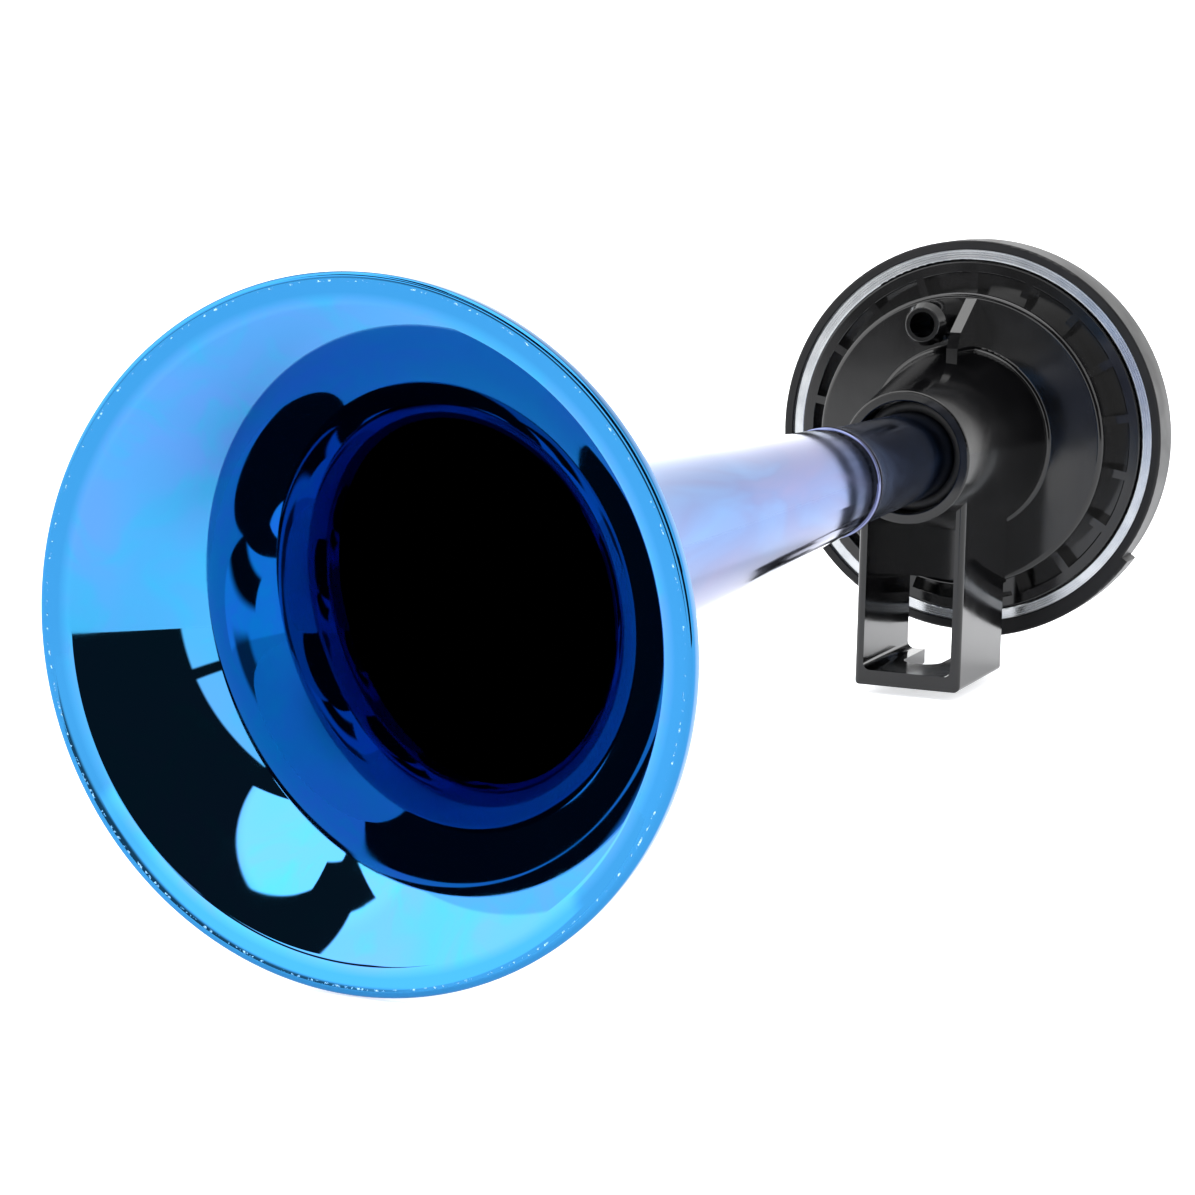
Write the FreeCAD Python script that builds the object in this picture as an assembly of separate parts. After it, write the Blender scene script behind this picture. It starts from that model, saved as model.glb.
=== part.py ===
import FreeCAD, Part
import math
import os
from FreeCAD import Vector

os.makedirs("parts", exist_ok=True)

# Air horn with one long trumpet on a round diaphragm housing. All sizes in mm.
# Every piece is drawn on the horn's own axis: x runs from the bell's mouth back
# to the housing, r is the distance from the axis, z is up. place() then puts
# the origin on the mounting foot's bottom face, between its front edge and
# the end of its bolt slot.

# trumpet
trumpet_length = 213.0    # mouth to the end of the long cone
mouth_r = 55.0            # outer radius of the bell's mouth
cone_end_r = 11.3         # outer radius of the cone at its rear end
cone_slope = 0.0425       # radius gained per mm towards the mouth
flare_length = 27.0       # length over which the flare falls to 1/e
lip_flare_length = 7.6    # the same for the quicker flare near the mouth
lip_flare_share = 0.14    # its share of the flare
flare_reach = 5.0         # the flare is drawn over this many lengths
bore_flare_length = 25.0  # the same as flare_length, inside the bell
trumpet_wall = 1.8        # wall of the cone; the bell's wall grows to its lip
lip_band = 4.8            # mouth's edge to the inner edge of the lip's flat band
lip_band_depth = 1.0      # how far back that inner edge lies
rim_depth = 2.4           # length of the thick lip round the mouth
rim_bead = 1.8            # how far the lip stands in from the mouth's edge
rim_chamfer = 0.6
rim_face = 1.2            # mouth's edge to the outer edge of the flat band
end_bead_r = 0.35         # raised bead round the cone's rear end
end_bead_length = 2.2
joint_wall = 1.4          # wall left round the neck's plug
plug_depth = 12.0         # how far the neck plugs into the cone
plug_step = 0.3           # shoulder that the plug's end meets

# neck
neck_length = 49.0        # from the cone's end to the housing's collar
neck_step = 0.4           # how far its front end lies below the cone's end
neck_rear_r = 9.8         # outer radius where it enters the housing
neck_wall = 1.6           # wall of the plug
glue_gap = 0.05           # gap of the glued joints
throat_r = 5.6            # air passage at the neck's rear end

# edges
fine_round = 0.3
edge_round = 0.5
wall_fillet = 1.0

# housing
hub_length = 39.8         # collar's face to the disc's face
hub_base_r = 21.3         # where the hub's cone meets the disc
hub_fillet = 1.2
collar_wall = 2.2
collar_mouth_depth = 8.0  # counterbore that holds the neck seal
body_depth = 13.7         # disc's face to the face the diaphragm lies on
disc_r = 34.3
disc_edge_round = 1.3
disc_wall = 2.5
chamber_wall = 1.7
pocket_depth = 4.1        # width of the ring channel between disc and flange
pocket_floor = 1.5
pocket_count = 18
pocket_rib = 1.9          # thickness of the ribs between the pockets
flange_width = 2.6        # wall outside the pockets
skirt_step = 2.5          # how far the skirt stands out from the flange
skirt_length = 4.2        # part that fits in the cover
boss_wall = 2.0           # wall of the tube round the nozzle
boss_set_back = 3.0       # its end, in front of the diaphragm's face

# mounting foot
foot_set_back = 6.5       # its front edge, behind the collar's face
foot_rear_gap = 1.0       # its rear edge, in front of the disc
foot_width = 24.8
foot_drop = 53.2          # horn axis to the foot's bottom face
foot_wall = 2.1
foot_floor = 3.4
foot_corner = 1.2
foot_inner_corner = 1.6
slot_width = 9.0
slot_offset = 1.5         # slot centre, sideways
slot_depth = 19.5         # from the foot's rear edge

# web on top of the hub
web_width = 2.6
web_offset = -1.8         # sideways
web_length = 13.8         # in front of the disc
web_rise = 3.35           # height of its front edge over the hub
web_nose_length = 2.2     # sloping nose behind the front edge
web_nose_rise = 3.5

# air inlet
inlet_r = 5.0
inlet_bore_r = 2.95
inlet_y = 6.0             # sideways
inlet_set_in = 4.65       # its axis, inside the chamber's wall
inlet_length = 12.2       # from the disc's face
inlet_nose = 2.6          # tapered end
inlet_nose_step = 1.0     # how much narrower its tip is

# diaphragm stack
gasket_t = 0.6
gasket_overlap = 2.4      # gasket's inner edge, outside the chamber
diaphragm_inset = 2.5     # diaphragm's edge, inside the skirt
diaphragm_t = 0.2
diaphragm_gap = 0.05      # clearance to the front gasket and the nozzle
diaphragm_lift = 0.35     # room behind the diaphragm
nozzle_length = 15.5      # part inside the bore
nozzle_seat_step = 1.2    # its seat is this much narrower than the bore
nozzle_lip = 1.2

# retaining ring, set in a groove inside the cover's mouth
ring_t = 1.3
ring_round = 0.5
ring_set_back = 0.95      # behind the housing's and the cover's front faces
ring_split = 2.0          # gap of the split ring
ring_split_angle = 206.0  # clockwise from the top, seen from the bell
groove_depth = 0.85
groove_side_gap = 0.05
ring_fit_gap = 0.1

# rear cover
cover_fit = 0.25          # round the housing's skirt
cover_lip = 2.15          # wall of its front lip
cover_wall = 2.4
cover_edge_round = 2.6
clamp_height = 1.9        # annular rib that clamps the stack
clamp_inset = 0.5         # its edges, inside the gasket's edges
lug_height = 1.6
lug_start = 124.0         # clockwise from the top, seen from the bell
lug_end = 170.0
lug_depth = 8.0
lug_root = 0.8            # how deep lug and back ribs run into the cover
dome_r = 27.0             # raised middle of the cover's back
dome_height = 4.0
dome_round = 2.0
back_rib_count = 6
back_rib_width = 1.8
back_rib_height = 1.6
back_rib_gap = 0.8        # from their ends to the cover's rounded edge
vent_r = 1.0
vent_at_r = 15.0

# seals
neck_seal_t = 2.5
neck_seal_set_in = 5.2    # behind the collar's face
neck_seal_room = 0.28     # from the seal to the counterbore
cover_seal_t = 1.3
cover_seal_set_in = 1.9   # in front of the diaphragm's face
seal_gap = 0.02           # left round the seals

# Stations along the axis, each from the piece in front of it or behind it.
collar_x = trumpet_length + neck_length
disc_x = collar_x + hub_length
disc_back_x = disc_x + disc_wall
housing_back_x = disc_x + body_depth
channel_x = housing_back_x - pocket_floor
skirt_x = housing_back_x - skirt_length
ring_x = skirt_x - groove_side_gap - ring_t
flange_x = ring_x - ring_set_back
boss_end_x = housing_back_x - boss_set_back
nozzle_front_x = boss_end_x - nozzle_length
foot_front_x = collar_x + foot_set_back
foot_back_x = disc_x - foot_rear_gap
neck_seal_x = collar_x + neck_seal_set_in
cover_seal_x = housing_back_x - cover_seal_set_in
diaphragm_x = housing_back_x + gasket_t + diaphragm_gap
rear_gasket_x = diaphragm_x + diaphragm_t + diaphragm_lift
clamp_x = rear_gasket_x + gasket_t
floor_x = clamp_x + clamp_height
cover_back_x = floor_x + cover_wall

# Radii, from the neck outwards and from the disc outwards.
neck_front_r = cone_end_r - neck_step
bore_r = neck_rear_r + glue_gap
boss_r = bore_r + boss_wall
seal_r = neck_rear_r + seal_gap + neck_seal_t / 2
collar_mouth_r = seal_r + neck_seal_t / 2 + neck_seal_room
collar_r = collar_mouth_r + collar_wall
chamber_r = disc_r - chamber_wall
pocket_outer_r = disc_r + pocket_depth
flange_r = pocket_outer_r + flange_width
skirt_r = flange_r + skirt_step
cover_inner_r = skirt_r + cover_fit
cover_r = cover_inner_r + cover_lip
lug_r = cover_r + lug_height
groove_r = cover_inner_r + groove_depth
gasket_inner_r = chamber_r + gasket_overlap
diaphragm_r = skirt_r - diaphragm_inset
cover_seal_r = cover_inner_r - seal_gap - cover_seal_t / 2
inlet_z = math.sqrt((chamber_r - inlet_set_in) ** 2 - inlet_y ** 2)

overcut = 1.0             # how far cutting shapes run past a face


def outline(corners):
    """Closed wire in the x-r plane; a third number rounds that corner."""
    count = len(corners)
    points = [Vector(c[0], 0, c[1]) for c in corners]
    joints = []
    for i in range(count):
        here = points[i]
        radius = corners[i][2] if len(corners[i]) > 2 else 0
        if radius == 0:
            joints.append((here, None, here))
            continue
        to_last = (points[i - 1] - here).normalize()
        to_next = (points[(i + 1) % count] - here).normalize()
        half = to_last.getAngle(to_next) / 2
        middle = here + (to_last + to_next).normalize() * (radius / math.sin(half))
        start = here + to_last * (radius / math.tan(half))
        end = here + to_next * (radius / math.tan(half))
        joints.append((start, middle + (here - middle).normalize() * radius, end))
    edges = []
    for i in range(count):
        start, mid, end = joints[i]
        if mid is not None:
            edges.append(Part.Arc(start, mid, end).toShape())
        following = joints[(i + 1) % count][0]
        if end.distanceToPoint(following) > 1e-6:
            edges.append(Part.LineSegment(end, following).toShape())
    return Part.Wire(edges)


def spin(wire):
    return Part.Face(wire).revolve(Vector(0, 0, 0), Vector(1, 0, 0), 360)


def lathe(corners):
    return spin(outline(corners))


def disc(x0, x1, radius, y=0, z=0):
    return Part.makeCylinder(radius, x1 - x0, Vector(x0, y, z), Vector(1, 0, 0))


def block(x0, x1, y0, y1, z0, z1):
    return Part.makeBox(x1 - x0, y1 - y0, z1 - z0, Vector(x0, y0, z0))


def turned(shape, angle):
    copy = shape.copy()
    copy.rotate(Vector(0, 0, 0), Vector(1, 0, 0), angle)
    return copy


def place(shape):
    moved = shape.copy()
    moved.translate(Vector(-(foot_front_x + foot_back_x - slot_depth) / 2, 0, foot_drop))
    return moved


def save(name, shape):
    solid = place(shape)
    if len(solid.Solids) != 1 or not solid.isValid():
        raise ValueError("%s: %d solids, valid %s" % (name, len(solid.Solids), solid.isValid()))
    solid.Solids[0].exportStep("parts/%s.step" % name)
    box = solid.BoundBox
    print("%-18s %9.0f mm3  x %7.2f %7.2f  y %7.2f %7.2f  z %7.2f %7.2f" % (
        name, solid.Volume, box.XMin, box.XMax, box.YMin, box.YMax, box.ZMin, box.ZMax))


# The trumpet: two exponential flares added to a long slow cone.
def cone_r(x):
    return cone_end_r + cone_slope * (trumpet_length - x)


flare_r = (mouth_r - rim_bead / 2) - cone_r(rim_depth)


def outer_r(x):
    behind = x - rim_depth
    return (cone_r(x) + flare_r * (1 - lip_flare_share) * math.exp(-behind / flare_length)
            + flare_r * lip_flare_share * math.exp(-behind / lip_flare_length))


# Inside, one flare starts at the inner edge of the lip's flat band.
band_r = mouth_r - lip_band
bore_flare_r = band_r - (cone_r(lip_band_depth) - trumpet_wall)


def inner_r(x):
    behind = x - lip_band_depth
    return cone_r(x) - trumpet_wall + bore_flare_r * math.exp(-behind / bore_flare_length)


def bell_curve(start, radius_at):
    """Spline along a flare, its points closer together near the mouth."""
    stations = [start + flare_reach * flare_length * (i / 28.0) ** 1.6 for i in range(29)]
    points = [Vector(x, 0, radius_at(x)) for x in stations]
    curve = Part.BSplineCurve()
    curve.interpolate(points)
    return curve.toShape(), points


outer_edge, outer_pts = bell_curve(rim_depth, outer_r)
inner_edge, inner_pts = bell_curve(lip_band_depth, inner_r)
plug_x = trumpet_length - plug_depth
socket_r = cone_end_r - joint_wall
bead_r = cone_end_r + end_bead_r
bead_x = trumpet_length - end_bead_length
rim_corners = [
    inner_pts[0],
    Vector(0, 0, mouth_r - rim_face),
    Vector(0, 0, mouth_r - rim_chamfer),
    Vector(rim_chamfer, 0, mouth_r),
    Vector(rim_depth, 0, mouth_r),
    outer_pts[0],
]
tail_corners = [
    outer_pts[-1],
    Vector(bead_x - end_bead_r, 0, cone_r(bead_x - end_bead_r)),
    Vector(bead_x, 0, bead_r),
    Vector(trumpet_length, 0, bead_r),
    Vector(trumpet_length, 0, socket_r),
    Vector(plug_x, 0, socket_r),
    Vector(plug_x, 0, socket_r - plug_step),
    inner_pts[-1],
]
trumpet_wire = Part.Wire(Part.__sortEdges__(
    [Part.LineSegment(a, b).toShape() for a, b in zip(rim_corners, rim_corners[1:])]
    + [outer_edge]
    + [Part.LineSegment(a, b).toShape() for a, b in zip(tail_corners, tail_corners[1:])]
    + [inner_edge]))
save("trumpet", spin(trumpet_wire))

# The neck: a slow cone with a plug glued into the trumpet and a straight
# shank in the housing's bore. The air passage narrows towards the nozzle.
plug_r = socket_r - glue_gap
neck_end_x = nozzle_front_x - glue_gap
save("neck", lathe([
    (plug_x + glue_gap, plug_r, fine_round),
    (trumpet_length + glue_gap, plug_r),
    (trumpet_length + glue_gap, neck_front_r, fine_round),
    (collar_x, neck_rear_r),
    (neck_end_x, neck_rear_r),
    (neck_end_x, throat_r),
    (plug_x + glue_gap, plug_r - neck_wall),
]))

# The seal in the collar, round the neck.
save("neck_seal", Part.makeTorus(seal_r, neck_seal_t / 2, Vector(neck_seal_x, 0, 0), Vector(1, 0, 0)))

# The front housing, turned parts first: collar, hub cone, disc, chamber wall,
# ring channel, flange and skirt.
seal_half = cover_seal_t / 2 + seal_gap
housing = lathe([
    (collar_x, collar_mouth_r, fine_round),
    (collar_x, collar_r, edge_round),
    (disc_x, hub_base_r, hub_fillet),
    (disc_x, disc_r, disc_edge_round),
    (channel_x, disc_r),
    (channel_x, pocket_outer_r),
    (flange_x, pocket_outer_r, fine_round),
    (flange_x, flange_r, fine_round),
    (skirt_x, flange_r),
    (skirt_x, skirt_r),
    (cover_seal_x - seal_half, skirt_r),
    (cover_seal_x - seal_half, cover_seal_r - seal_half),
    (cover_seal_x + seal_half, cover_seal_r - seal_half),
    (cover_seal_x + seal_half, skirt_r),
    (housing_back_x, skirt_r, fine_round),
    (housing_back_x, chamber_r),
    (disc_back_x, chamber_r, wall_fillet),
    (disc_back_x, boss_r),
    (boss_end_x, boss_r, edge_round),
    (boss_end_x, bore_r),
    (collar_x + collar_mouth_depth, bore_r),
    (collar_x + collar_mouth_depth, collar_mouth_r),
])

# Radial ribs that divide the ring channel into pockets.
rib = block(flange_x, housing_back_x - pocket_floor / 2, -pocket_rib / 2, pocket_rib / 2,
            (disc_r + chamber_r) / 2, (pocket_outer_r + flange_r) / 2)
ribs = [turned(rib, 360.0 * i / pocket_count) for i in range(pocket_count)]

# The open rectangular foot. Its walls run up into the hub and the disc; the
# floor has a bolt slot that is open to the rear.
foot = block(foot_front_x, foot_back_x, -foot_width / 2, foot_width / 2, -foot_drop, 0)
foot = foot.makeFillet(foot_corner, [
    e for e in foot.Edges
    if abs(e.BoundBox.ZMin + foot_drop) < 1e-6 and e.BoundBox.ZLength < 1e-6 and e.BoundBox.XLength > foot_corner
    or abs(e.BoundBox.XMin - foot_front_x) < 1e-6 and e.BoundBox.XLength < 1e-6 and e.BoundBox.ZLength > foot_corner])
tongue = block(foot_back_x - overcut, disc_x + disc_wall / 2, -foot_width / 2, foot_width / 2, -chamber_r, 0)
window_floor = foot_floor - foot_drop
window = block(foot_front_x - overcut, foot_back_x, foot_wall - foot_width / 2, foot_width / 2 - foot_wall, window_floor, 0)
window = window.makeFillet(foot_inner_corner, [
    e for e in window.Edges
    if abs(e.BoundBox.ZMin - window_floor) < 1e-6 and e.BoundBox.ZLength < 1e-6 and e.BoundBox.XLength > foot_inner_corner])
slot_x = foot_back_x - slot_depth + slot_width / 2
slot = Part.makeCylinder(slot_width / 2, foot_floor + 2 * overcut, Vector(slot_x, slot_offset, -foot_drop - overcut))
slot = slot.fuse(block(slot_x, foot_back_x + overcut, slot_offset - slot_width / 2, slot_offset + slot_width / 2,
                       -foot_drop - overcut, window_floor + overcut))
foot = foot.cut(window).cut(slot)

# Web on the hub's top, and the air inlet spigot beside it.
web_root_z = collar_r
web_front_x = disc_x - web_length
web_shoulder_x = web_front_x + web_nose_length
web_front_z = collar_r + (hub_base_r - collar_r) * (web_front_x - collar_x) / hub_length + web_rise
web_shoulder_z = web_front_z + web_nose_rise
web_tip_z = disc_r - disc_edge_round
web = Part.Face(Part.makePolygon([
    Vector(web_front_x, 0, web_root_z),
    Vector(web_front_x, 0, web_front_z),
    Vector(web_shoulder_x, 0, web_shoulder_z),
    Vector(disc_x, 0, web_tip_z),
    Vector(disc_x + disc_wall / 2, 0, web_tip_z),
    Vector(disc_x + disc_wall / 2, 0, web_root_z),
    Vector(web_front_x, 0, web_root_z),
])).extrude(Vector(0, web_width, 0))
web.translate(Vector(0, web_offset - web_width / 2, 0))
inlet_tip_x = disc_x - inlet_length
spigot = lathe([
    (inlet_tip_x, 0),
    (inlet_tip_x, inlet_r - inlet_nose_step, fine_round),
    (inlet_tip_x + inlet_nose, inlet_r, fine_round),
    (disc_x + disc_wall / 2, inlet_r),
    (disc_x + disc_wall / 2, 0),
])
spigot.translate(Vector(0, inlet_y, inlet_z))

housing = housing.fuse(ribs + [foot, tongue.cut(window), web, spigot])
keep_clear = lathe([
    (collar_x - overcut, 0),
    (collar_x - overcut, collar_mouth_r),
    (collar_x + collar_mouth_depth, collar_mouth_r),
    (collar_x + collar_mouth_depth, bore_r),
    (boss_end_x + overcut, bore_r),
    (boss_end_x + overcut, 0),
])
air_way = disc(inlet_tip_x - overcut, disc_back_x + overcut, inlet_bore_r, inlet_y, inlet_z)
housing = housing.cut(keep_clear.fuse(air_way)).removeSplitter()
save("front_housing", housing)

# The nozzle in the rear of the bore. Its narrow lip is the diaphragm's seat.
seat_x = diaphragm_x - diaphragm_gap
seat_r = neck_rear_r - nozzle_seat_step
nozzle_flange_r = neck_rear_r + boss_wall / 2
save("nozzle", lathe([
    (nozzle_front_x, throat_r),
    (nozzle_front_x, neck_rear_r, fine_round),
    (boss_end_x, neck_rear_r),
    (boss_end_x, nozzle_flange_r),
    (boss_end_x + nozzle_lip, nozzle_flange_r, fine_round),
    (boss_end_x + nozzle_lip, seat_r),
    (seat_x, seat_r, fine_round),
    (seat_x, seat_r - nozzle_lip),
]))

# Diaphragm between two rubber gaskets.
save("front_gasket", lathe([
    (housing_back_x, gasket_inner_r), (housing_back_x, diaphragm_r),
    (housing_back_x + gasket_t, diaphragm_r), (housing_back_x + gasket_t, gasket_inner_r)]))
save("diaphragm", disc(diaphragm_x, diaphragm_x + diaphragm_t, diaphragm_r))
save("rear_gasket", lathe([
    (rear_gasket_x, gasket_inner_r), (rear_gasket_x, diaphragm_r),
    (rear_gasket_x + gasket_t, diaphragm_r), (rear_gasket_x + gasket_t, gasket_inner_r)]))

# Bright split ring in the groove of the cover's mouth, in front of the skirt.
ring = lathe([
    (ring_x, flange_r + ring_fit_gap, ring_round),
    (ring_x, groove_r - ring_fit_gap, ring_round),
    (ring_x + ring_t, groove_r - ring_fit_gap),
    (ring_x + ring_t, flange_r + ring_fit_gap)])
gap = block(ring_x - overcut, skirt_x + overcut, -ring_split / 2, ring_split / 2, flange_r - overcut, cover_r)
save("retaining_ring", ring.cut(turned(gap, ring_split_angle)))

# Seal between the skirt and the cover's bore.
save("cover_seal", Part.makeTorus(cover_seal_r, cover_seal_t / 2, Vector(cover_seal_x, 0, 0), Vector(1, 0, 0)))

# The rear cover: a shallow drum with a lip, a clamping rib, a raised middle
# with stiffening ribs, a vent and a thumb lug on its side.
cover = lathe([
    (flange_x, cover_inner_r, fine_round),
    (flange_x, cover_r, edge_round),
    (cover_back_x, cover_r, cover_edge_round),
    (cover_back_x, dome_r, wall_fillet),
    (cover_back_x + dome_height, dome_r - dome_height, dome_round),
    (cover_back_x + dome_height, 0),
    (floor_x + dome_height, 0),
    (floor_x + dome_height, dome_r - dome_height - cover_wall / 2, wall_fillet),
    (floor_x, dome_r - cover_wall / 2),
    (floor_x, gasket_inner_r + clamp_inset),
    (clamp_x, gasket_inner_r + clamp_inset),
    (clamp_x, diaphragm_r - clamp_inset),
    (floor_x, diaphragm_r - clamp_inset),
    (floor_x, cover_inner_r),
    (skirt_x, cover_inner_r),
    (skirt_x, groove_r),
    (ring_x - groove_side_gap, groove_r),
    (ring_x - groove_side_gap, cover_inner_r),
])
lug = Part.Face(outline([
    (flange_x, cover_r - lug_root), (flange_x, lug_r, edge_round),
    (flange_x + lug_depth, lug_r, edge_round), (flange_x + lug_depth, cover_r - lug_root),
])).revolve(Vector(0, 0, 0), Vector(1, 0, 0), lug_end - lug_start)
cover = cover.fuse(turned(lug, lug_start))
back_rib = block(cover_back_x - lug_root, cover_back_x + back_rib_height, -back_rib_width / 2, back_rib_width / 2,
                 dome_r - dome_height, cover_r - cover_edge_round - back_rib_gap)
cover = cover.fuse([turned(back_rib, 360.0 * i / back_rib_count) for i in range(back_rib_count)])
cover = cover.cut(disc(floor_x, cover_back_x + dome_height + overcut, vent_r, 0, -vent_at_r))
save("rear_cover", cover.removeSplitter())
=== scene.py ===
import bpy
import math
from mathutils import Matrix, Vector


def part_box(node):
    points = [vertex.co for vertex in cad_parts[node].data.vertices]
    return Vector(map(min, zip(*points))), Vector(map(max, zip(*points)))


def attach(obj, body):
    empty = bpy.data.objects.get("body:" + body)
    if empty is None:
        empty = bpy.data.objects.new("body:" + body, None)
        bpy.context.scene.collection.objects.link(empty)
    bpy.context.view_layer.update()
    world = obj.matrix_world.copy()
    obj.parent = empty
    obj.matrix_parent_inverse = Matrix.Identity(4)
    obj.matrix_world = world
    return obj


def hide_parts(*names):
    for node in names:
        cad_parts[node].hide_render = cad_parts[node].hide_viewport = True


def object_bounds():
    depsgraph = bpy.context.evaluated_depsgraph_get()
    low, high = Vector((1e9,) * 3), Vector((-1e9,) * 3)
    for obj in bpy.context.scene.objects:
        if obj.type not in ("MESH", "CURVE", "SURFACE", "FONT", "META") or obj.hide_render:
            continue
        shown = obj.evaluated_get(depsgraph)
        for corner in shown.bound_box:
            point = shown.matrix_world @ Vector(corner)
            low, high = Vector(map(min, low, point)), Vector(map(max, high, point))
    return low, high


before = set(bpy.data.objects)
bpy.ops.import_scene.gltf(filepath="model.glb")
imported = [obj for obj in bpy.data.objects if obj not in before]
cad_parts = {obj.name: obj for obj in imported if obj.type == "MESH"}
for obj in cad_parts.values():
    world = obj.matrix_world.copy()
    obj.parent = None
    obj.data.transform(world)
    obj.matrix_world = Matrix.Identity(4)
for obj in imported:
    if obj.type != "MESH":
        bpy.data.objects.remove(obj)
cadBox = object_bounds()
mm = 0.001


# Colours and nodes

def hexColor(code):  # sRGB hex to the linear colour that the shaders take
    parts = [int(code[i:i + 2], 16) / 255 for i in (1, 3, 5)]
    return tuple([p / 12.92 if p <= 0.04045 else ((p + 0.055) / 1.055) ** 2.4 for p in parts] + [1.0])


def addNode(tree, kind, settings=None, links=None):  # one node, its values and what feeds it
    node = tree.nodes.new("ShaderNode" + kind)
    for name, value in (settings or {}).items():
        if isinstance(name, int) or name in node.inputs:
            node.inputs[name].default_value = value
        else:
            setattr(node, name, value)
    for name, source in (links or {}).items():
        tree.links.new(source, node.inputs[name])
    return node


def newMaterial(name, values):  # a material with its shader and object coordinates
    material = bpy.data.materials.new(name)
    material.use_nodes = True
    tree = material.node_tree
    tree.nodes.clear()
    shader = addNode(tree, "BsdfPrincipled", values)
    addNode(tree, "OutputMaterial", None, {"Surface": shader.outputs["BSDF"]})
    place = addNode(tree, "TexCoord").outputs["Object"]
    return material, tree, shader, place


def perMm(size):  # texture scale for a pattern that repeats every so many mm
    return 1 / (size * mm)


# Where the horn's axis and its stations are

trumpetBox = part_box("trumpet")
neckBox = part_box("neck")
mouthX = trumpetBox[0][0]
axisY = 0.0
axisZ = (trumpetBox[0][2] + trumpetBox[1][2]) / 2
trumpetLength = (trumpetBox[1][0] - mouthX) / mm
mouthRadius = (trumpetBox[1][2] - trumpetBox[0][2]) / 2 / mm


# Materials

def radialDistance(tree, place):  # distance from the horn's axis, and the split coordinates
    parts = addNode(tree, "SeparateXYZ", None, {0: place})
    up = addNode(tree, "Math", {"operation": "SUBTRACT", 1: axisZ}, {0: parts.outputs["Z"]})
    flat = addNode(tree, "CombineXYZ", None, {"Y": parts.outputs["Y"], "Z": up.outputs[0]})
    return addNode(tree, "VectorMath", {"operation": "LENGTH"}, {0: flat.outputs[0]}).outputs["Value"], parts


def bandMask(tree, value, low, high, soft):  # 1 between two values, fading out over soft
    rise = addNode(tree, "MapRange", {"interpolation_type": "SMOOTHSTEP", 1: low - soft, 2: low}, {0: value})
    fall = addNode(tree, "MapRange", {"interpolation_type": "SMOOTHSTEP", 1: high, 2: high + soft, 3: 1.0, 4: 0.0},
                   {0: value})
    return addNode(tree, "Math", {"operation": "MULTIPLY"}, {0: rise.outputs[0], 1: fall.outputs[0]}).outputs[0]


boreLook = {
    "base": "#357eae",        # one reflection gives sky blue, two give royal blue
    "violet": "#4578b2",      # the lacquer's thin spots
    "cyan": "#2b84ad",        # and its thick ones
    "lip": "#2b70a2",         # where it gathers along the flat of the lip
    "bareAndGlint": "#9cc4e4",        # flecks with little lacquer left, painted lighter as highlights along the parting line
    "lipFrom": 50.35,         # mm from the axis
    "lipFull": 51.95,
    "cloud": 38.0,            # mm, size of the clouds in the lacquer
    "swirl": 11.0,            # mm
    "peel": 3.2,              # mm, orange peel of the moulded plastic
    "roughness": (0.015, 0.05),
    "lineFrom": 53.55,        # mm, ragged parting line inside the lip
    "lineTo": 53.75,
    "lineSoft": 0.08,
    "fleck": 0.7,             # mm
    "fleckRough": 0.22,       # how much duller the flecks are
}


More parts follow.
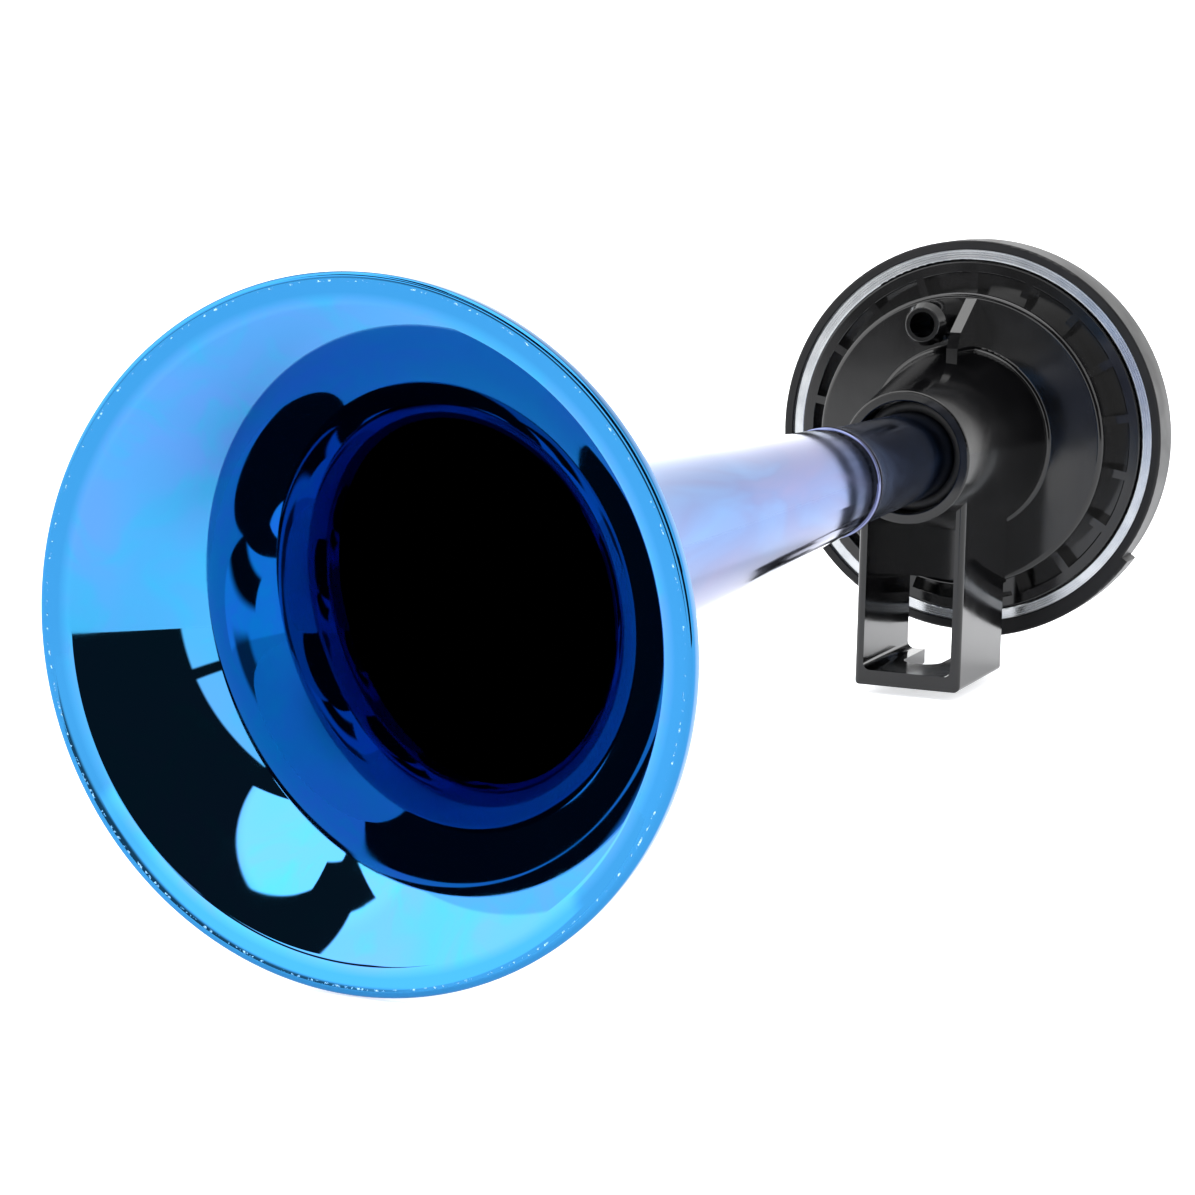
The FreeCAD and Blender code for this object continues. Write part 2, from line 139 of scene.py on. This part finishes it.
def metallisedBore():
    # Vacuum-metallised ABS under clear blue lacquer: a mirror whose tint deepens
    # with each reflection, with faint violet and cyan clouds and a ragged line
    # of bare flecks where the mould halves met inside the lip, painted lighter as highlights.
    look = boreLook
    material, tree, shader, place = newMaterial("metallisedBlueLacquer", {"Metallic": 1.0})
    clouds = addNode(tree, "TexNoise", {"Scale": perMm(look["cloud"]), "Detail": 2.0, "Distortion": 0.8},
                     {"Vector": place})
    swirls = addNode(tree, "TexNoise", {"Scale": perMm(look["swirl"]), "Detail": 3.0, "Distortion": 1.6},
                     {"Vector": place})
    cloudTone = addNode(tree, "MapRange", {1: 0.38, 2: 0.62}, {0: clouds.outputs[0]})
    swirlTone = addNode(tree, "MapRange", {1: 0.45, 2: 0.72, 4: 0.7}, {0: swirls.outputs[0]})
    toViolet = addNode(tree, "Mix", {"data_type": "RGBA", 6: hexColor(look["base"]), 7: hexColor(look["violet"])},
                       {0: cloudTone.outputs[0]})
    tinted = addNode(tree, "Mix", {"data_type": "RGBA", 7: hexColor(look["cyan"])},
                     {0: swirlTone.outputs[0], 6: toViolet.outputs[2]})
    distance = radialDistance(tree, place)[0]
    onLip = addNode(tree, "MapRange", {1: look["lipFrom"] * mm, 2: look["lipFull"] * mm}, {0: distance})
    thicker = addNode(tree, "Mix", {"data_type": "RGBA", 7: hexColor(look["lip"])},
                      {0: onLip.outputs[0], 6: tinted.outputs[2]})
    line = bandMask(tree, distance, look["lineFrom"] * mm, look["lineTo"] * mm, look["lineSoft"] * mm)
    flecks = addNode(tree, "TexNoise", {"Scale": perMm(look["fleck"]), "Detail": 4.0}, {"Vector": place})
    chipsAndGlints = addNode(tree, "MapRange", {1: 0.57, 2: 0.68}, {0: flecks.outputs[0]})
    lineChipsAndGlints = addNode(tree, "Math", {"operation": "MULTIPLY"}, {0: line, 1: chipsAndGlints.outputs[0]})
    # painted highlight: the flecks along the parting line take a lighter colour for its tiny glints, besides being
    # rougher and bumped as bare spots
    bareAndGlint = addNode(tree, "Mix", {"data_type": "RGBA", 7: hexColor(look["bareAndGlint"])},
                   {0: lineChipsAndGlints.outputs[0], 6: thicker.outputs[2]})
    tree.links.new(bareAndGlint.outputs[2], shader.inputs["Base Color"])
    low, high = look["roughness"]
    sheen = addNode(tree, "MapRange", {1: 0.35, 2: 0.75, 3: low, 4: high}, {0: swirls.outputs[0]})
    rough = addNode(tree, "Math", {"operation": "MULTIPLY_ADD", 1: look["fleckRough"]},
                    {0: lineChipsAndGlints.outputs[0], 2: sheen.outputs[0]})
    tree.links.new(rough.outputs[0], shader.inputs["Roughness"])
    peel = addNode(tree, "TexNoise", {"Scale": perMm(look["peel"]), "Detail": 1.0}, {"Vector": place})
    peelBump = addNode(tree, "Bump", {"Strength": 0.12, "Distance": 0.004 * mm}, {"Height": peel.outputs[0]})
    lineBump = addNode(tree, "Bump", {"Strength": 0.7, "Distance": 0.08 * mm},
                       {"Height": lineChipsAndGlints.outputs[0], "Normal": peelBump.outputs[0]})
    tree.links.new(lineBump.outputs[0], shader.inputs["Normal"])
    return material


coneLook = {
    "flare": "#2d6ea4",       # the back of the bell, as deep as its inside
    "cone": "#244787",        # further back the coat is thin and goes lavender at a low angle
    "pink": "#4d4b84",        # drifts of pink and cyan along the cone
    "cyan": "#1d68a4",
    "end": "#767a96",         # the bead at its end, rubbed thin by handling
    "endFrom": 209.0,         # mm behind the mouth
    "endFull": 211.0,
    "fadeFrom": 8.0,          # mm behind the mouth, from the bell's blue to the cone's
    "fadeTo": 55.0,
    "drift": (70.0, 16.0),    # mm along and across the cone
    "peel": 4.0,              # mm
    "roughness": (0.03, 0.09),
}


def metallisedCone():
    # The same lacquer outside, thinner: drifts of pink and cyan run along the
    # cone like oil on water.
    look = coneLook
    material, tree, shader, place = newMaterial("metallisedThinLacquer", {"Metallic": 1.0})
    parts = addNode(tree, "SeparateXYZ", None, {0: place})
    fadeFrom, fadeTo = mouthX + look["fadeFrom"] * mm, mouthX + look["fadeTo"] * mm
    behind = addNode(tree, "MapRange", {"interpolation_type": "SMOOTHSTEP", 1: fadeFrom, 2: fadeTo},
                     {0: parts.outputs["X"]})
    coat = addNode(tree, "Mix", {"data_type": "RGBA", 6: hexColor(look["flare"]), 7: hexColor(look["cone"])},
                   {0: behind.outputs[0]})
    long, across = look["drift"]
    stretched = addNode(tree, "Mapping", {"Scale": (across / long, 1, 1)}, {"Vector": place})
    drifts = addNode(tree, "TexNoise", {"Scale": perMm(across), "Detail": 3.0, "Distortion": 0.9},
                     {"Vector": stretched.outputs[0]})
    pink = addNode(tree, "MapRange", {1: 0.5, 2: 0.72, 4: 0.8}, {0: drifts.outputs[0]})
    cyan = addNode(tree, "MapRange", {1: 0.52, 2: 0.28, 4: 0.95}, {0: drifts.outputs[0]})
    pinkOnCone = addNode(tree, "Math", {"operation": "MULTIPLY"}, {0: pink.outputs[0], 1: behind.outputs[0]})
    withPink = addNode(tree, "Mix", {"data_type": "RGBA", 7: hexColor(look["pink"])},
                       {0: pinkOnCone.outputs[0], 6: coat.outputs[2]})
    withCyan = addNode(tree, "Mix", {"data_type": "RGBA", 7: hexColor(look["cyan"])},
                       {0: cyan.outputs[0], 6: withPink.outputs[2]})
    atEnd = addNode(tree, "MapRange", {1: mouthX + look["endFrom"] * mm, 2: mouthX + look["endFull"] * mm},
                    {0: parts.outputs["X"]})
    rubbed = addNode(tree, "Mix", {"data_type": "RGBA", 7: hexColor(look["end"])},
                     {0: atEnd.outputs[0], 6: withCyan.outputs[2]})
    tree.links.new(rubbed.outputs[2], shader.inputs["Base Color"])
    low, high = look["roughness"]
    sheen = addNode(tree, "MapRange", {1: 0.35, 2: 0.7, 3: low, 4: high}, {0: drifts.outputs[0]})
    tree.links.new(sheen.outputs[0], shader.inputs["Roughness"])
    peel = addNode(tree, "TexNoise", {"Scale": perMm(look["peel"]), "Detail": 1.0}, {"Vector": place})
    peelBump = addNode(tree, "Bump", {"Strength": 0.15, "Distance": 0.005 * mm}, {"Height": peel.outputs[0]})
    tree.links.new(peelBump.outputs[0], shader.inputs["Normal"])
    return material


neckLook = {
    "navy": "#26406f",
    "light": "#314d7c",
    "cloud": 14,              # mm
    "peel": 2.6,              # mm
    "roughness": (0.12, 0.2),
}


def metallisedNeck():
    # The same metallised finish under a much deeper blue lacquer: nearly black
    # face on, navy where it catches light.
    look = neckLook
    material, tree, shader, place = newMaterial("metallisedNavyLacquer", {"Metallic": 1.0})
    clouds = addNode(tree, "TexNoise", {"Scale": perMm(look["cloud"]), "Detail": 3.0, "Distortion": 1.2},
                     {"Vector": place})
    tone = addNode(tree, "MapRange", {1: 0.35, 2: 0.65}, {0: clouds.outputs[0]})
    tint = addNode(tree, "Mix", {"data_type": "RGBA", 6: hexColor(look["navy"]), 7: hexColor(look["light"])},
                   {0: tone.outputs[0]})
    tree.links.new(tint.outputs[2], shader.inputs["Base Color"])
    low, high = look["roughness"]
    sheen = addNode(tree, "MapRange", {1: 0.3, 2: 0.7, 3: low, 4: high}, {0: clouds.outputs[0]})
    tree.links.new(sheen.outputs[0], shader.inputs["Roughness"])
    peel = addNode(tree, "TexNoise", {"Scale": perMm(look["peel"]), "Detail": 1.0}, {"Vector": place})
    bump = addNode(tree, "Bump", {"Strength": 0.2, "Distance": 0.006 * mm}, {"Height": peel.outputs[0]})
    tree.links.new(bump.outputs[0], shader.inputs["Normal"])
    return material


glossLook = {
    "dark": "#060607",
    "light": "#0c0c0d",       # in the flow clouds
    "roughness": (0.08, 0.14),
    "gloss": 0.36,
    "grain": 0.5,             # mm
}
coverLook = {
    "dark": "#08080a",
    "light": "#0f0f11",
    "roughness": (0.36, 0.46),
    "gloss": 0.2,
    "grain": 0.35,
}
absLook = {
    "dust": "#3a3b3d",
    "dustGap": 3.4,           # mm between specks
    "flow": 17,               # mm, flow clouds
    "sink": 9,                # mm, waves over the ribs
    "scratch": 0.7,           # mm across, coarser than real so that it shows
    "scratchRough": 0.05,
}


def mouldedAbs(name, look):
    # Injection-moulded black ABS: a soft gloss with faint flow clouds, sink
    # waves over the ribs, dust specks and fine handling scratches.
    material, tree, shader, place = newMaterial(name, {"IOR": 1.53, "Specular IOR Level": look["gloss"]})
    flow = addNode(tree, "TexNoise", {"Scale": perMm(absLook["flow"]), "Detail": 3.0, "Distortion": 0.6},
                   {"Vector": place})
    tone = addNode(tree, "MapRange", {1: 0.35, 2: 0.68}, {0: flow.outputs[0]})
    specks = addNode(tree, "TexVoronoi", {"Scale": perMm(absLook["dustGap"])}, {"Vector": place})
    dust = addNode(tree, "MapRange", {1: 0.03, 2: 0.01}, {0: specks.outputs["Distance"]})
    body = addNode(tree, "Mix", {"data_type": "RGBA", 6: hexColor(look["dark"]), 7: hexColor(look["light"])},
                   {0: tone.outputs[0]})
    dusted = addNode(tree, "Mix", {"data_type": "RGBA", 7: hexColor(absLook["dust"])},
                     {0: dust.outputs[0], 6: body.outputs[2]})
    tree.links.new(dusted.outputs[2], shader.inputs["Base Color"])
    stretch = addNode(tree, "Mapping", {"Scale": (1.0, 1.0, 0.12), "Rotation": (0.5, 0.3, 0.9)}, {"Vector": place})
    scratches = addNode(tree, "TexNoise", {"Scale": perMm(absLook["scratch"]), "Detail": 4.0},
                        {"Vector": stretch.outputs[0]})
    low, high = look["roughness"]
    handled = addNode(tree, "MapRange", {1: 0.4, 2: 0.7, 3: low, 4: high}, {0: flow.outputs[0]})
    rough = addNode(tree, "Math", {"operation": "MULTIPLY_ADD", 1: absLook["scratchRough"], "use_clamp": True},
                    {0: scratches.outputs[0], 2: handled.outputs[0]})
    tree.links.new(rough.outputs[0], shader.inputs["Roughness"])
    sink = addNode(tree, "TexNoise", {"Scale": perMm(absLook["sink"]), "Detail": 1.0}, {"Vector": place})
    sinkBump = addNode(tree, "Bump", {"Strength": 0.3, "Distance": 0.012 * mm}, {"Height": sink.outputs[0]})
    skin = addNode(tree, "TexNoise", {"Scale": perMm(look["grain"]), "Detail": 3.0}, {"Vector": place})
    skinBump = addNode(tree, "Bump", {"Strength": 0.2, "Distance": 0.002 * mm},
                       {"Height": skin.outputs[0], "Normal": sinkBump.outputs[0]})
    tree.links.new(skinBump.outputs[0], shader.inputs["Normal"])
    return material


def turnedMetal(name, color, shade, roughness, groove):  # groove: mm between the tool's rings
    # Rolled or turned bright metal: fine rings of the tool or the roll catch
    # the light round the axis, with a slightly duller tone between them.
    material, tree, shader, place = newMaterial(name, {"Metallic": 1.0})
    distance, parts = radialDistance(tree, place)
    rings = addNode(tree, "CombineXYZ", None, {"X": distance, "Y": parts.outputs["X"]})
    grooves = addNode(tree, "TexNoise", {"Scale": perMm(groove), "Detail": 3.0}, {"Vector": rings.outputs[0]})
    cloud = addNode(tree, "TexNoise", {"Scale": perMm(7), "Detail": 3.0}, {"Vector": place})
    tone = addNode(tree, "MapRange", {1: 0.35, 2: 0.65}, {0: cloud.outputs[0]})
    tint = addNode(tree, "Mix", {"data_type": "RGBA", 6: hexColor(color), 7: hexColor(shade)}, {0: tone.outputs[0]})
    tree.links.new(tint.outputs[2], shader.inputs["Base Color"])
    low, high = roughness
    rough = addNode(tree, "MapRange", {1: 0.35, 2: 0.65, 3: low, 4: high}, {0: grooves.outputs[0]})
    tree.links.new(rough.outputs[0], shader.inputs["Roughness"])
    bump = addNode(tree, "Bump", {"Strength": 0.3, "Distance": 0.01 * mm}, {"Height": grooves.outputs[0]})
    tree.links.new(bump.outputs[0], shader.inputs["Normal"])
    return material


rubberLook = {
    "charcoal": "#141414",
    "bloom": "#2b2a29",
    "pore": 1.3,              # mm
    "roughness": (0.55, 0.75),
}


def nitrileRubber():
    # Moulded nitrile: matt charcoal with talc bloom in its pores.
    look = rubberLook
    material, tree, shader, place = newMaterial("nitrileRubber", {"IOR": 1.52})
    bloom = addNode(tree, "TexNoise", {"Scale": perMm(look["pore"]), "Detail": 5.0}, {"Vector": place})
    tone = addNode(tree, "MapRange", {1: 0.4, 2: 0.75}, {0: bloom.outputs[0]})
    tint = addNode(tree, "Mix", {"data_type": "RGBA", 6: hexColor(look["charcoal"]), 7: hexColor(look["bloom"])},
                   {0: tone.outputs[0]})
    tree.links.new(tint.outputs[2], shader.inputs["Base Color"])
    low, high = look["roughness"]
    rough = addNode(tree, "MapRange", {1: 0.3, 2: 0.7, 3: low, 4: high}, {0: bloom.outputs[0]})
    tree.links.new(rough.outputs[0], shader.inputs["Roughness"])
    bump = addNode(tree, "Bump", {"Strength": 0.4, "Distance": 0.02 * mm}, {"Height": bloom.outputs[0]})
    tree.links.new(bump.outputs[0], shader.inputs["Normal"])
    return material


blueLacquer = metallisedBore()
thinLacquer = metallisedCone()
navyLacquer = metallisedNeck()
glossAbs = mouldedAbs("mouldedGlossAbs", glossLook)
coverAbs = mouldedAbs("mouldedSatinAbs", coverLook)
brightRing = turnedMetal("polishedZinc", "#b4b6b8", "#a0a3a6", (0.16, 0.28), 0.18)
springSteel = turnedMetal("rolledSpringSteel", "#a9abad", "#8f9295", (0.22, 0.36), 0.25)
turnedBrass = turnedMetal("turnedBrass", "#d8b566", "#c19a4c", (0.15, 0.28), 0.22)
rubber = nitrileRubber()
print("materials made")


# Turned pieces: one ring of edges, extruded station by station

turning = {
    "merge": 0.004,           # mm, points nearer than this become one
    "crease": 32,             # degrees, sharper edges stay crisp
}


def turnedPiece(name, profile, segments):  # profile: closed list of (x, radius) in mm from the mouth
    bpy.ops.object.select_all(action="DESELECT")
    firstX, firstR = profile[0]
    bpy.ops.mesh.primitive_circle_add(vertices=segments, radius=firstR * mm, fill_type="NOTHING",
                                      location=(mouthX + firstX * mm, axisY, axisZ), rotation=(0, math.pi / 2, 0))
    piece = bpy.context.object
    piece.name = name
    bpy.ops.object.transform_apply(location=True, rotation=True, scale=True)
    bpy.ops.object.mode_set(mode="EDIT")
    bpy.ops.mesh.select_all(action="SELECT")
    lastX, lastR = firstX, firstR
    for x, radius in profile[1:] + profile[:1]:
        bpy.ops.mesh.extrude_region_move(TRANSFORM_OT_translate={"value": ((x - lastX) * mm, 0, 0)})
        if abs(radius - lastR) > 1e-6:
            grow = radius / lastR
            bpy.ops.transform.resize(value=(1, grow, grow), center_override=(mouthX + x * mm, axisY, axisZ))
        lastX, lastR = x, radius
    bpy.ops.mesh.select_all(action="SELECT")
    bpy.ops.mesh.remove_doubles(threshold=turning["merge"] * mm)
    bpy.ops.mesh.normals_make_consistent(inside=False)
    bpy.ops.object.mode_set(mode="OBJECT")
    bpy.ops.object.shade_smooth_by_angle(angle=math.radians(turning["crease"]))
    return piece


def arcPoints(centreX, centreR, radius, start, end, count):  # start and end in degrees, 0 along +x, 90 outwards
    turn = [math.radians(start + (end - start) * i / count) for i in range(count + 1)]
    return [(centreX + radius * math.cos(a), centreR + radius * math.sin(a)) for a in turn]


trumpet = {
    "coneEnd": 11.3,          # outer radius of the long cone at its rear end
    "coneSlope": 0.0425,      # mm of radius for each mm of length
    "flare": 27.0,            # length over which the flare falls to 1/e
    "lipFlare": 7.6,          # a second, shorter flare by the lip
    "lipShare": 0.14,
    "boreFlare": 25.0,        # the same inside the bell
    "wall": 1.8,
    "lipBand": 4.8,           # flat band inside the lip
    "lipBandDepth": 1.0,
    "lipFace": 1.2,           # flat face outside it
    "rimDepth": 2.4,          # thick lip round the mouth
    "rimBead": 1.8,
    "rimRound": 0.75,
    "rimEdge": 0.3,           # rounding behind the lip and at the rear end
    "coneStations": (150, 165, 180, 195, 205),
    "endBead": 0.35,          # bead at the cone's rear end
    "endBeadLength": 2.2,
    "jointWall": 1.4,         # wall round the neck's plug
    "plugDepth": 12.0,
    "plugStep": 0.3,
    "flareReach": 5.0,        # stations go on for so many flare lengths
    "stations": 44,
    "crowding": 1.6,          # over 1 puts more of them near the mouth
    "segments": 288,
}


def coneRadius(x):
    return trumpet["coneEnd"] + trumpet["coneSlope"] * (trumpetLength - x)


def outerRadius(x):
    t = trumpet
    total = mouthRadius - t["rimBead"] / 2 - coneRadius(t["rimDepth"])
    behind = x - t["rimDepth"]
    return coneRadius(x) + total * ((1 - t["lipShare"]) * math.exp(-behind / t["flare"])
                                    + t["lipShare"] * math.exp(-behind / t["lipFlare"]))


def innerRadius(x):
    t = trumpet
    total = mouthRadius - t["lipBand"] - (coneRadius(t["lipBandDepth"]) - t["wall"])
    return coneRadius(x) - t["wall"] + total * math.exp(-(x - t["lipBandDepth"]) / t["boreFlare"])


def trumpetProfile():
    t = trumpet
    steps = [t["flareReach"] * t["flare"] * (i / t["stations"]) ** t["crowding"] for i in range(t["stations"] + 1)]
    outer = [(t["rimDepth"] + step, outerRadius(t["rimDepth"] + step)) for step in steps]
    inner = [(t["lipBandDepth"] + step, innerRadius(t["lipBandDepth"] + step)) for step in steps]
    plugX = trumpetLength - t["plugDepth"]
    socket = t["coneEnd"] - t["jointWall"]
    bead = t["coneEnd"] + t["endBead"]
    beadX = trumpetLength - t["endBeadLength"]
    rr = t["rimRound"]
    bandOuter = mouthRadius - t["lipFace"]
    bandInner = inner[0][1]
    band = [(t["lipBandDepth"] * k, bandOuter + (bandInner - bandOuter) * k) for k in (0.94, 0.6, 0.3, 0.06)]
    lip = [(0.04, bandOuter - 0.02), (0, bandOuter + 0.12), (0, mouthRadius - rr)]
    lip += arcPoints(rr, mouthRadius - rr, rr, 180, 90, 8)[1:]
    edge = t["rimEdge"]
    lip += [(t["rimDepth"] - edge, mouthRadius)]
    lip += arcPoints(t["rimDepth"] - edge, mouthRadius - edge, edge, 90, 0, 4)
    cone = [(x, coneRadius(x)) for x in t["coneStations"] + (beadX - 0.6,)]
    rise = t["endBead"]
    beadArc = [(beadX - rise + rise * math.sin(a), coneRadius(beadX) + rise * (1 - math.cos(a)))
               for a in [math.radians(d) for d in (0, 30, 60, 90)]]
    tail = [(beadX + 0.4, bead), (trumpetLength - 0.5, bead)]
    tail += arcPoints(trumpetLength - edge, bead - edge, edge, 90, 0, 4)
    tail += [(trumpetLength, socket + 0.3), (trumpetLength, socket), (trumpetLength - 1, socket)]
    tail += [(plugX, socket), (plugX, socket - t["plugStep"])]
    ax, ar = inner[-1]
    bx, br = plugX, socket - t["plugStep"]
    bore = [(bx + (ax - bx) * k, br + (ar - br) * k) for k in (0.1, 0.3, 0.5, 0.7, 0.9)]
    return lip + outer + cone + beadArc + tail + bore + inner[::-1] + band


bell = turnedPiece("trumpetShell", trumpetProfile(), trumpet["segments"])
bell.data.materials.append(blueLacquer)
bell.data.materials.append(thinLacquer)


def coatOutside(piece, slotIndex):  # the faces that look away from the axis take the second finish
    for face in piece.data.polygons:
        x, y, z = face.center
        outwards = face.normal[1] * (y - axisY) + face.normal[2] * (z - axisZ)
        if outwards > 0 and x > mouthX + trumpet["rimRound"] * mm:
            face.material_index = slotIndex


coatOutside(bell, 1)
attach(bell, "horn")
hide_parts("trumpet")
print("trumpet made")


neck = {
    "front": 10.9,            # outer radius behind the cone's end
    "rear": 9.8,
    "plugWall": 1.6,
    "glueGap": 0.05,
    "throat": 5.6,            # radius of its bore at the housing end
    "shank": 34.95,           # straight part in the housing's bore
    "segments": 192,
}


def neckProfile():
    n = neck
    startX = (neckBox[0][0] - mouthX) / mm
    endX = (neckBox[1][0] - mouthX) / mm
    plug = trumpet["coneEnd"] - trumpet["jointWall"] - n["glueGap"]
    stepX = trumpetLength + n["glueGap"]
    shankX = endX - n["shank"]
    nose = arcPoints(startX + 0.3, plug - 0.3, 0.3, 180, 90, 4)
    shoulderR, rear, throat = n["front"], n["rear"], n["throat"]
    shoulder = [(stepX - 0.4, plug), (stepX, plug), (stepX, shoulderR - 0.4)]
    shoulder += arcPoints(stepX + 0.35, shoulderR - 0.35, 0.35, 180, 90, 5)[1:]
    taper = [(stepX + (shankX - stepX) * k, shoulderR + (rear - shoulderR) * k)
             for k in (0.03, 0.2, 0.4, 0.6, 0.8, 0.97)]
    shank = [(shankX, rear), (shankX + 4, rear), (endX - 0.5, rear), (endX, rear - 0.2), (endX, throat)]
    frontBore = plug - n["plugWall"]
    bore = [(endX + (startX - endX) * k, throat + (frontBore - throat) * k) for k in (0.02, 0.25, 0.5, 0.75, 0.98)]
    return nose + shoulder + taper + shank + bore + [(startX, frontBore)]


neckTube = turnedPiece("neckTube", neckProfile(), neck["segments"])
neckTube.data.materials.append(navyLacquer)
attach(neckTube, "horn")
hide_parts("neck")
print("neck made")


# CAD pieces that keep their shape

finishes = {
    "front_housing": glossAbs,
    "rear_cover": coverAbs,
    "retaining_ring": brightRing,
    "diaphragm": springSteel,
    "nozzle": turnedBrass,
    "front_gasket": rubber,
    "rear_gasket": rubber,
    "neck_seal": rubber,
    "cover_seal": rubber,
}
for name, material in finishes.items():
    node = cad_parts[name]
    for place in node.material_slots:
        place.material = material
print("finishes given")


# Camera

camera = {
    "place": (-0.4278, -0.2249, 0.0876),   # from the middle of the bell's mouth
    "right": (0.40005, -0.91629, 0.01979),
    "up": (0.14288, 0.08368, 0.98620),
    "lens": 98.78,
}


def placeCamera():
    data = bpy.data.cameras.new("camera")
    data.lens = camera["lens"]
    data.sensor_width = 36
    data.clip_start = 0.01
    eye = bpy.data.objects.new("camera", data)
    bpy.context.scene.collection.objects.link(eye)
    right = Vector(camera["right"]).normalized()
    up = Vector(camera["up"])
    up = (up - right * up.dot(right)).normalized()
    back = right.cross(up)
    turn = eye.matrix_world.to_3x3()
    turn.col[0], turn.col[1], turn.col[2] = right, up, back
    eye.matrix_world = turn.to_4x4()
    eye.location = Vector(camera["place"]) + Vector((mouthX, axisY, axisZ))
    bpy.context.scene.camera = eye


placeCamera()
print("camera placed")


# Studio

studio = {
    "floor": "#e9eaec",
    "floorGlow": 0.75,
    "floorSize": 6.0,
    "floorAhead": 0.42,       # its front edge, in front of the bell
    "floorDrop": 0.2,         # mm under the horn
    "backdrop": 1.2,          # what the camera sees behind the floor
    "soft": 0.5,              # degrees over which an edge fades
}
brightness = {
    "room": 2.5,              # white tent all round
    "back": 1.15,             # the tent's back wall
    "top": 4.0,               # softbox overhead
    "left": 3.6,              # softbox on the left
    "dark": 0.03,             # the unlit room in front
    "cloth": 0.3,             # black cloth round the camera
}

# Each area of the tent, later ones over earlier ones: its brightness, then its
# edges as (share of turn, share of rise, limit, softness). It lies where every
# share of turn plus share of rise is over its limit. Turn is degrees round from
# straight out of the bell, towards -y, and rise is degrees up.
areas = [
    ("back", (1, 0, 115, 12), (0, 1, 18, 16)),
    ("back", (-1, 0, 115, 12), (0, 1, 18, 16)),
    ("left", (1, 0, -80), (-1, 0, 0), (0, 1, 3), (-0.565, -1, -33.4), (0, -1, -60)),
    ("top", (0, 1, 57, 2.5)),
    ("dark", (1, 0.875, 28.6), (-1, 0, -70), (0, 1, -20), (0, -1, -57)),       # the unlit room
    ("dark", (1, 0, 66), (-1, 0, -80), (0, 1, 12), (0, -1, -16)),              # and a stand beside it
    ("dark", (1, 0, -62), (-1, 0, -14), (0.565, 1, 33.4), (-0.33, -1, -58.5)), # gap between the softboxes
    ("dark", (1, 0, -62), (-1, 0, 38), (0, 1, 60), (-0.33, -1, -58.5)),        # and round their corners
    ("dark", (1, 0, -55), (-1, -0.77, -27.7), (0, 1, 60), (0, -1, -74)),
    ("dark", (1, 0, 58), (-1, 0, -71), (0, 1, 56), (0, -1, -72)),
    ("dark", (1, 0, -38), (-1, 0, 0), (0, 1, 18, 3), (0, -1, -37, 2)),         # the left softbox's arm
    ("cloth", (1, 0, -28, 3), (-1, 0, 8, 3), (0, 1, -14, 3), (0, -1, -5, 3)),
]


def makeFloor():
    bpy.ops.object.select_all(action="DESELECT")
    middle = mouthX - studio["floorAhead"] + studio["floorSize"] / 2
    height = cadBox[0][2] - studio["floorDrop"] * mm
    bpy.ops.mesh.primitive_plane_add(size=studio["floorSize"], location=(middle, 0, height))
    floor = bpy.context.object
    floor.name = "floor"
    bpy.ops.object.transform_apply(location=True, rotation=True, scale=True)
    # opal acrylic lit from below: an even white with a soft shadow
    white = hexColor(studio["floor"])
    sheet = newMaterial("opalAcrylicSheet", {"Base Color": white, "Roughness": 0.6,
                                             "Emission Color": white, "Emission Strength": studio["floorGlow"]})
    floor.data.materials.append(sheet[0])


def makeWorld():
    world = bpy.data.worlds.new("studio")
    bpy.context.scene.world = world
    world.use_nodes = True
    tree = world.node_tree
    tree.nodes.clear()
    way = addNode(tree, "TexCoord").outputs["Generated"]
    parts = addNode(tree, "SeparateXYZ", None, {0: way})
    ahead = addNode(tree, "Math", {"operation": "MULTIPLY", 1: -1.0}, {0: parts.outputs["X"]})
    side = addNode(tree, "Math", {"operation": "MULTIPLY", 1: -1.0}, {0: parts.outputs["Y"]})
    turnRad = addNode(tree, "Math", {"operation": "ARCTAN2"}, {0: side.outputs[0], 1: ahead.outputs[0]})
    turn = addNode(tree, "Math", {"operation": "DEGREES"}, {0: turnRad.outputs[0]}).outputs[0]
    riseRad = addNode(tree, "Math", {"operation": "ARCSINE"}, {0: parts.outputs["Z"]})
    rise = addNode(tree, "Math", {"operation": "DEGREES"}, {0: riseRad.outputs[0]}).outputs[0]

    def edgeMask(turnShare, riseShare, limit, soft=studio["soft"]):
        a = addNode(tree, "Math", {"operation": "MULTIPLY", 1: turnShare}, {0: turn})
        b = addNode(tree, "Math", {"operation": "MULTIPLY_ADD", 1: riseShare}, {0: rise, 2: a.outputs[0]})
        fade = {"interpolation_type": "SMOOTHSTEP", 1: limit - soft, 2: limit + soft}
        return addNode(tree, "MapRange", fade, {0: b.outputs[0]}).outputs[0]

    light = None
    for name, *edges in areas:
        masks = [edgeMask(*edge) for edge in edges]
        inside = masks[0]
        for mask in masks[1:]:
            inside = addNode(tree, "Math", {"operation": "MULTIPLY"}, {0: inside, 1: mask}).outputs[0]
        settings = {"data_type": "FLOAT", 2: brightness["room"], 3: brightness[name]}
        links = {0: inside, 2: light} if light else {0: inside}
        light = addNode(tree, "Mix", settings, links).outputs[0]
    surround = addNode(tree, "Background", {"Color": (1, 1, 1, 1)}, {"Strength": light})
    plain = addNode(tree, "Background", {"Color": (1, 1, 1, 1), "Strength": studio["backdrop"]})
    seen = addNode(tree, "LightPath").outputs["Is Camera Ray"]
    mixed = addNode(tree, "MixShader", None, {0: seen, 1: surround.outputs[0], 2: plain.outputs[0]})
    addNode(tree, "OutputWorld", None, {"Surface": mixed.outputs[0]})


makeFloor()
makeWorld()
bpy.context.scene.view_settings.view_transform = "Standard"
print("studio made")
